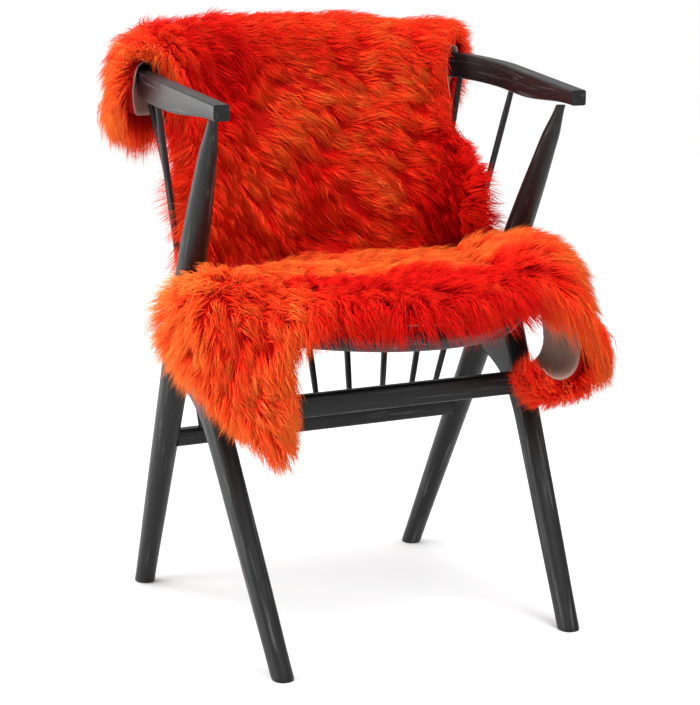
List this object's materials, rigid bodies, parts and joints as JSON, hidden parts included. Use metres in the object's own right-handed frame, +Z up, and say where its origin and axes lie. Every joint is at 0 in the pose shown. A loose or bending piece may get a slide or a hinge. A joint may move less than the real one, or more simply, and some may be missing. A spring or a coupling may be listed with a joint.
{
  "type": "sheepskin draped over a chair",
  "caption": "Long-wool dyed sheepskin draped over the back rail, seat and front edge of an open wooden chair with arms and a spindle back.",
  "frame": {"origin": "bottom centre of the whole, on the floor that the chair stands on", "axes": "+Z up, the chair faces -Y, +X to the right as seen by someone who faces the chair"},
  "size_m": [0.6524, 0.6282, 0.8155],
  "materials": {
    "black_wood": "black stained open-grain wood, satin lacquer",
    "orange_wool": "long dyed orange-red wool in soft locks",
    "skin_leather": "undyed suede of the skin's flesh side, matt greyish beige"
  },
  "bodies": {
    "root": {"leg_back_left": "black_wood", "leg_front_left": "black_wood", "leg_back_right": "black_wood", "leg_front_right": "black_wood", "seat": "black_wood", "arm_left": "black_wood", "back_rail": "black_wood", "arm_right": "black_wood", "stretcher_rear": "black_wood", "stretcher_front": "black_wood", "spindle_1": "black_wood", "spindle_2": "black_wood", "spindle_3": "black_wood", "spindle_4": "black_wood", "spindle_5": "black_wood", "spindle_6": "black_wood", "spindle_7": "black_wood", "spindle_8": "black_wood", "spindle_9": "black_wood", "sheepskin": "orange_wool"}
  },
  "joints": []
}
